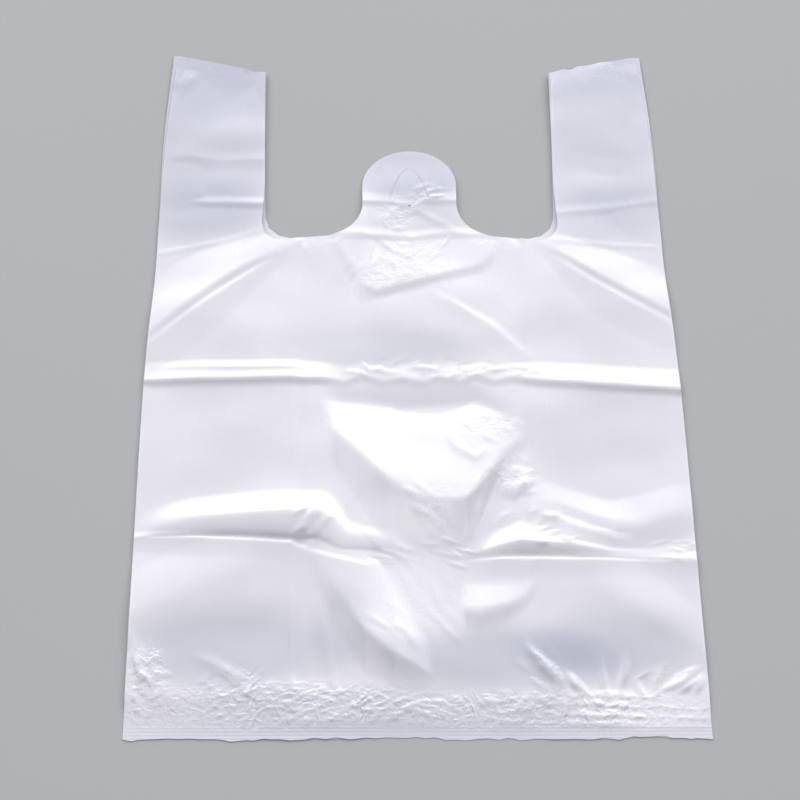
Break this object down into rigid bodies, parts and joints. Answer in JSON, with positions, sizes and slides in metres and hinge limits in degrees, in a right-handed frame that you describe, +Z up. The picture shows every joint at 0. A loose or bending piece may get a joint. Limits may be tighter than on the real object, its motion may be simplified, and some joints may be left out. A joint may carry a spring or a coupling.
{
  "type": "plastic carrier bag",
  "caption": "Thin milky film vest carrier bag lying flat, with folded side gussets, welded bottom, a pair of loop handles and a central hanging tab at the mouth.",
  "frame": {"origin": "under the middle of the flat bag, on the surface that it lies on", "axes": "+X across the bag, +Y from the bottom weld to the handles, +Z up through the film layers"},
  "size_m": [0.3, 0.47, 0.0135],
  "materials": {
    "film": "milky translucent thin film, semi-gloss"
  },
  "bodies": {
    "root": {"carrier_bag": "film"}
  },
  "joints": []
}
